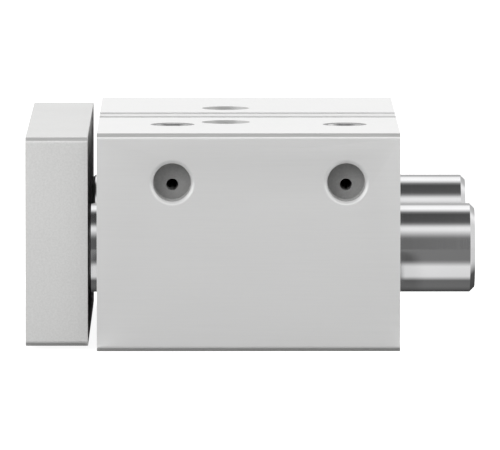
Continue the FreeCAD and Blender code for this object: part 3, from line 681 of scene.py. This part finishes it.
def dress_housing():
    """The housing with broken edges, and every worked face in a finish of its own, several of them
    darker tones that are painted shade.
    """
    low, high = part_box("housing")
    ports = [mount(name) for name in PORT_MOUNTS]
    plugs = [middle_of(name) for name in PLUGS]
    seats = pattern_places(mount("through_bolts"))
    bm = edge_broken_copy("housing", EDGE_BREAK, [Vector(port["pos_m"]) for port in ports])
    for face in bm.faces:
        middle = face.calc_center_median()
        depth = high.z - middle.z
        at_end = min(middle.x - low.x, high.x - middle.x) < EDGE_BREAK
        in_seat = near_any(middle, seats, COUNTERBORE_RADIUS)
        between_slots = face.normal.z > LOOKS_ALONG and abs(middle.y) < SLOT_RIB_REACH
        if at_end and abs(face.normal.x) > LOOKS_ALONG:
            face.material_index = END
        elif any(inside_bore(middle, port) for port in ports):
            face.material_index = PORT
        elif is_chamfer(face):
            face.material_index = CHAMFER
        elif EDGE_BREAK < depth < COUNTERBORE_DEPTH and in_seat:
            face.material_index = SEAT
        elif depth > WELD_DISTANCE and near_any(middle, plugs, PLUG_MOUTH_RADIUS):
            face.material_index = PLUG_MOUTH
        # painted shade: the top between the slots gets the darker rib tone
        elif between_slots and depth < WELD_DISTANCE:
            face.material_index = SLOT_RIB
        else:
            face.material_index = SKIN
    materials = [FINISHES["anodised_aluminium"], MILLED_END, PORT_PAINTED_SHADE, CHAMFER_PAINTED_SHADE, SEAT_PAINTED_SHADE, SOCKET_PAINTED_SHADE,
                 RIB_PAINTED_SHADE]
    piece = new_piece("housing_body", bm, materials, "housing")
    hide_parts("housing")


def dress_yoke_plate():
    """The plate with broken edges, its chamfers and its inner face in darker finishes of their own
    that are painted shade.
    """
    low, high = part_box("yoke_plate")
    bm = edge_broken_copy("yoke_plate", PLATE_EDGE_BREAK)
    for face in bm.faces:
        at_rear = high.x - face.calc_center_median().x < EDGE_BREAK
        if is_chamfer(face):
            face.material_index = PLATE_CHAMFER
        elif face.normal.x > LOOKS_ALONG and at_rear:
            face.material_index = PLATE_REAR
        else:
            face.material_index = PLATE_SKIN
    materials = [BLASTED, CHAMFER_PAINTED_SHADE, REAR_PAINTED_SHADE]
    piece = new_piece("yoke_plate_body", bm, materials, "yoke")
    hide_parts("yoke_plate")


def dress_turned_piece(node, bm, body, slot, worked, is_worked, rise=0.0):
    """A round piece from its copy, with a second finish on its worked faces and its top raised; on
    plugs and screws that finish is painted shade.
    """
    low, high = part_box(node)
    for face in bm.faces:
        at_work = is_worked(face.calc_center_median(), face.normal, low, high)
        face.material_index = WORKED if at_work else PLAIN
    if rise:
        top = [vert for vert in bm.verts if high.z - vert.co.z < PLUG_TOP_DEPTH]
        bmesh.ops.translate(bm, verts=top, vec=(0, 0, rise))
    piece = new_piece(f"{node}_dressed", bm, [FINISHES[slot], worked], body)
    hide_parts(node)


def is_plug_socket(place, normal, low, high):
    """In a plug's socket, or on the thread start round its rim: all but its top."""
    radius = (place - (low + high) / 2).to_2d().length
    on_top = normal.z > LOOKS_ALONG and high.z - place.z < SMALL_EDGE_BREAK
    return not (on_top and radius > SOCKET_CORE)


def is_screw_socket(place, normal, low, high):
    """In the socket of a screw that looks along -X."""
    return place.x - low.x > SMALL_EDGE_BREAK and off_x_axis(place, (low + high) / 2) < SOCKET_REACH


def is_rod_end(place, normal, low, high):
    """On a rod's two turned ends or in their centre holes, not along its ground length."""
    at_end = min(place.x - low.x, high.x - place.x) < ROD_END_DEPTH
    in_hole = off_x_axis(place, (low + high) / 2) < CENTRE_HOLE_REACH
    return at_end and (abs(normal.x) > LOOKS_ALONG or in_hole)


def dress_round_pieces():
    for node in PLUGS:
        dress_turned_piece(node, edge_broken_copy(node, SMALL_EDGE_BREAK), "housing", "plug_steel",
                           SOCKET_PAINTED_SHADE, is_plug_socket, PLUG_RISE)
    for node in SCREWS:
        dress_turned_piece(node, edge_broken_copy(node, SMALL_EDGE_BREAK), "yoke", "screw_steel",
                           SOCKET_PAINTED_SHADE, is_screw_socket)
    for node in GUIDE_RODS:
        dress_turned_piece(node, sharp_edged_copy(node), "yoke", "hard_chrome",
                           TURNED_STEEL, is_rod_end)


def thread_rib(name, body, mouth, inwards, core_radius, pitch, depth):
    """A helical rib on the wall of a tapped hole, from its mouth inwards."""
    half_width = pitch * THREAD_HALF_WIDTH
    lead_in = pitch * THREAD_LEAD_IN
    turns = (depth - lead_in * 2) / pitch
    steps = round(THREAD_STEPS * turns)
    sideways = inwards.orthogonal().normalized()
    start = mouth + inwards * lead_in
    wall = core_radius - THREAD_CLEARANCE
    bm = bmesh.new()
    corners = [bm.verts.new(start + sideways * wall - inwards * half_width),
               bm.verts.new(start + sideways * (wall - pitch * THREAD_HEIGHT)),
               bm.verts.new(start + sideways * wall + inwards * half_width)]
    section = bm.faces.new(corners)
    bmesh.ops.spin(bm, geom=[section, *section.edges, *section.verts], cent=mouth, axis=inwards,
                   dvec=inwards * (pitch * turns / steps), angle=2 * pi * turns, steps=steps)
    bmesh.ops.remove_doubles(bm, verts=bm.verts, dist=WELD_DISTANCE / 10)
    bmesh.ops.recalc_face_normals(bm, faces=bm.faces)
    for face in bm.faces:
        face.smooth = False
    new_piece(name, bm, [THREAD], body)


def thread_ports():
    """Pipe threads in the two open side ports."""
    for name in PORT_MOUNTS:
        port = mount(name)
        outwards = Vector(port["axis"])
        length = port["dims"]["length_mm"] * MM
        mouth = Vector(port["pos_m"]) + outwards * length / 2
        thread_rib(f"{name}_thread", "housing", mouth, -outwards,
                   port["dims"]["r_mm"] * MM, PIPE_PITCH, length)


def thread_bolt_holes():
    """Threads under the housing and in the yoke plate's face."""
    low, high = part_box("yoke_plate")
    holes = (("base_threads", "housing", "anodised_aluminium", M8_PITCH, BASE_THREAD_DEPTH),
             ("yoke_threads", "yoke", "machined_aluminium", M6_PITCH, high.x - low.x))
    for name, body, slot, pitch, depth in holes:
        pattern = mount(name)
        inwards = -Vector(pattern["axis"])
        for number, place in enumerate(pattern_places(pattern), start=1):
            thread_rib(f"{name}_{number}", body, place, inwards,
                       pattern["dims"]["hole_r_mm"] * MM, pitch, depth)


# Studio floor: its size, its drop below the object, how much of its white is its own light, and
# its colour to the object and to the camera
FLOOR_SIZE = 6.0
FLOOR_DROP = 0.02 * MM
FLOOR_LIFT = 0.93
FLOOR_BOUNCE = 0.45
FLOOR_SHADE = 0.3

# Painted reflection of the floor, a glow that polished metal mirrors, with painted shadow and
# painted light
# by distance across it in millimetres: under the block and plate, under the rods to the left and to
# the right, and past the rods' ends
BLOCK_FLOOR_PAINTED_SHADOW = [(-58, 0.30), (-56, 0.30), (-54.5, 0.2), (-20, 0.15)]
ROD_FLOOR_PAINTED_LIGHT_AND_SHADOW = [(-85, 0.14, 0.27), (-77, 0.32, 0.44), (-71, 0.69, 0.77), (-66, 1.0, 1.1),
                   (-51, 0.97, 1.04), (-48.4, 0.52, 0.62), (-46, 0.15, 0.2), (-37, 0.19, 0.23),
                   (-32, 0.17, 0.2), (-23, 0.11, 0.13)]
ROD_END_FLOOR_PAINTED_LIGHT_AND_SHADOW = [(-52, 0.95), (-41, 0.95), (-35, 0.12), (-20, 0.12)]

# Where one part of the floor passes into the next: along X behind the block, between the rods' left
# and right, past the rods' ends and far to the right, then across Y, and the gap by the plate
BLOCK_END = (34.0 * MM, 35.5 * MM)
ROD_SIDES = (37.5 * MM, 40.0 * MM)
PAST_RODS = (56.0 * MM, 60.0 * MM)
FAR_RIGHT = (115.0 * MM, 140.0 * MM)
NEAR_SIDE = (-60.0 * MM, -52.0 * MM)
GAP_MIDDLE = -35.0 * MM
GAP_HALF_WIDTH = 0.9 * MM


def floor_finish():
    """Pale floor: white to the camera, with only a trace of the object's shadow, clear from below.

    Polished metal mirrors a painted reflection of it: a glow with painted light in front of the
    object and painted shadow under and behind it."""
    finish = Finish("studio_floor")
    path = finish.node("ShaderNodeLightPath")
    to_camera = path.outputs["Is Camera Ray"]
    finish.colour(finish.blend(to_camera, as_colour(FLOOR_BOUNCE), as_colour(FLOOR_SHADE)))
    finish.set(Roughness=0.9, Specular_IOR_Level=0.1)
    lit = finish.node("ShaderNodeAddShader")
    finish.feed(lit.inputs[0], finish.shader.outputs[0])
    finish.feed(lit.inputs[1], finish.glow("ShaderNodeEmission", to_camera, FLOOR_LIFT))
    # painted reflection: to mirrored rays the floor glows with painted light and painted shadow set
    # by place
    mirrored = finish.glow("ShaderNodeEmission", painted_floor_reflection(finish))
    shown = finish.choose(path.outputs["Is Glossy Ray"], lit.outputs[0], mirrored)
    facing = finish.node("ShaderNodeNewGeometry")
    from_below = finish.calculate("MULTIPLY", facing.outputs["Backfacing"], to_camera)
    clear = finish.node("ShaderNodeBsdfTransparent")
    final = finish.choose(from_below, shown, clear.outputs[0])
    finish.feed(finish.tree.nodes["Material Output"].inputs["Surface"], final)
    return finish.material


def painted_floor_reflection(finish):
    """Painted reflection of the floor in polished metal: painted light and painted shadow by its
    place along and across the object.
    """
    parts = finish.node("ShaderNodeSeparateXYZ")
    finish.feed(parts.inputs[0], finish.place())
    along = parts.outputs["X"]
    across = parts.outputs["Y"]
    in_gap = finish.calculate("COMPARE", along, GAP_MIDDLE, GAP_HALF_WIDTH)
    open_floor = finish.calculate("MAXIMUM", finish.span(along, *BLOCK_END), in_gap)
    under_block = floor_tones(finish, across, BLOCK_FLOOR_PAINTED_SHADOW)
    to_left = floor_tones(finish, across, [(y, left) for y, left, right in ROD_FLOOR_PAINTED_LIGHT_AND_SHADOW])
    to_right = floor_tones(finish, across, [(y, right) for y, left, right in ROD_FLOOR_PAINTED_LIGHT_AND_SHADOW])
    under_rods = finish.blend(finish.span(along, *ROD_SIDES), to_left, to_right)
    near_floor = finish.blend(open_floor, under_block, under_rods)
    beyond = finish.span(along, *PAST_RODS)
    beside = finish.span(across, *NEAR_SIDE)
    rod_end_floor = finish.calculate("MINIMUM", beyond, beside)
    by_rods = floor_tones(finish, across, ROD_END_FLOOR_PAINTED_LIGHT_AND_SHADOW)
    open_tone = as_colour(ROD_END_FLOOR_PAINTED_LIGHT_AND_SHADOW[0][1])
    past_rods = finish.blend(finish.span(along, *FAR_RIGHT), by_rods, open_tone)
    return finish.blend(rod_end_floor, near_floor, past_rods)


def floor_tones(finish, place, tones):
    """Brightness along a direction on the floor, from pairs of place in millimetres and tone."""
    first, last = tones[0][0], tones[-1][0]
    share = finish.span(place, first * MM, last * MM)
    return finish.stops(share, [((at - first) / (last - first), tone) for at, tone in tones])


def lay_floor():
    bm = bmesh.new()
    bmesh.ops.create_grid(bm, x_segments=1, y_segments=1, size=FLOOR_SIZE / 2)
    bmesh.ops.translate(bm, verts=bm.verts, vec=(0, 0, cad_box[0].z - FLOOR_DROP))
    mesh = bpy.data.meshes.new("floor")
    bm.to_mesh(mesh)
    bm.free()
    mesh.materials.append(floor_finish())
    floor = bpy.data.objects.new("floor", mesh)
    scene.collection.objects.link(floor)


# What polished metal mirrors, as (angle in degrees round the X axis from the camera's side
# over the top to the backdrop, brightness to the left, brightness to the right)
STUDIO_BANDS = [(-180, 0.9, 0.9), (-46, 1.0, 1.1), (-40, 0.7, 0.77), (-34, 0.3, 0.44),
                (-29, 0.14, 0.31), (22, 0.13, 0.295), (29, 0.17, 0.31), (34, 0.34, 0.46),
                (45, 0.87, 0.97), (50, 1.13, 1.23), (57, 1.18, 1.28), (62, 0.85, 0.94),
                (68, 0.32, 0.39), (74, 0.125, 0.16), (80, 0.095, 0.138), (101, 0.085, 0.11),
                (109, 0.26, 0.29), (118, 1.08, 1.08), (126, 1.6, 1.6), (142, 1.6, 1.6),
                (153, 0.9, 0.9), (180, 0.93, 0.93)]

# Along the X of a mirrored direction: where the bands pass from left to right, and each side
# panel's start, its full reach and its brightness
BAND_SIDES = (0.0222, 0.0238)
LEFT_PANEL = (-0.6, -0.8, 1.25)
RIGHT_PANEL = (0.64, 0.84, 1.0)

# Brightness of the sky and of the lamp, and the lamp's direction, distance and width
SKY_LEVEL = 1.42
KEY_LEVEL = 0.395
KEY_DIRECTION = Vector((-0.42, -0.83, 0.365))
KEY_DISTANCE = 1.8
KEY_WIDTH = 0.9


def light_world():
    """White to the camera, banded like softboxes and dark flags to what metal mirrors."""
    world = bpy.data.worlds.new("studio")
    scene.world = world
    world.use_nodes = True
    world.node_tree.nodes.clear()
    sky = Nodes(world.node_tree)
    direction = sky.node("ShaderNodeTexCoord")
    parts = sky.node("ShaderNodeSeparateXYZ")
    sky.feed(parts.inputs[0], direction.outputs["Generated"])
    to_front = sky.calculate("MULTIPLY", parts.outputs["Y"], -1.0)
    turn = sky.span(sky.calculate("ARCTAN2", parts.outputs["Z"], to_front), -pi, pi)
    to_left = sky.stops(turn, [((angle + 180) / 360, left) for angle, left, right in STUDIO_BANDS])
    to_right = sky.stops(turn, [((angle + 180) / 360, right) for angle, left, right in STUDIO_BANDS])
    mirrored = sky.blend(sky.span(parts.outputs["X"], *BAND_SIDES), to_left, to_right)
    for start, end, level in (LEFT_PANEL, RIGHT_PANEL):
        mirrored = sky.blend(sky.span(parts.outputs["X"], start, end), mirrored, as_colour(level))
    banded = sky.glow("ShaderNodeBackground", mirrored)
    even = sky.glow("ShaderNodeBackground", as_colour(1.0), SKY_LEVEL)
    white = sky.glow("ShaderNodeBackground", as_colour(1.0))
    path = sky.node("ShaderNodeLightPath")
    lit = sky.choose(path.outputs["Is Glossy Ray"], even, banded)
    seen = sky.choose(path.outputs["Is Camera Ray"], lit, white)
    output = sky.node("ShaderNodeOutputWorld")
    sky.feed(output.inputs["Surface"], seen)


def hang_key_softbox():
    """A large lamp aimed at the object, which lights it as much as a sky of its level would."""
    lamp = bpy.data.lights.new("key_softbox", "AREA")
    lamp.shape = "SQUARE"
    lamp.size = KEY_WIDTH
    lamp.energy = KEY_LEVEL * (pi * KEY_DISTANCE) ** 2
    holder = bpy.data.objects.new("key_softbox", lamp)
    towards = KEY_DIRECTION.normalized()
    holder.location = (cad_box[0] + cad_box[1]) / 2 + towards * KEY_DISTANCE
    holder.rotation_euler = towards.to_track_quat("Z", "Y").to_euler()
    holder.visible_glossy = False
    scene.collection.objects.link(holder)


def place_camera():
    """The photograph's view, as a long lens from in front and a little above."""
    lens = bpy.data.cameras.new("photo_camera")
    lens.sensor_width = SENSOR_WIDTH
    lens.lens = FOCAL_PIXELS / PHOTO_WIDTH * SENSOR_WIDTH
    lens.clip_start = 0.1
    lens.clip_end = 20
    camera = bpy.data.objects.new("photo_camera", lens)
    camera.location = CAMERA_PLACE
    camera.rotation_euler = (pi / 2 - CAMERA_PITCH, 0, -CAMERA_YAW)
    scene.collection.objects.link(camera)
    scene.camera = camera


scene.view_settings.view_transform = "Standard"
finish_cad_nodes()
dress_housing()
dress_yoke_plate()
dress_round_pieces()
thread_ports()
thread_bolt_holes()
lay_floor()
light_world()
hang_key_softbox()
place_camera()
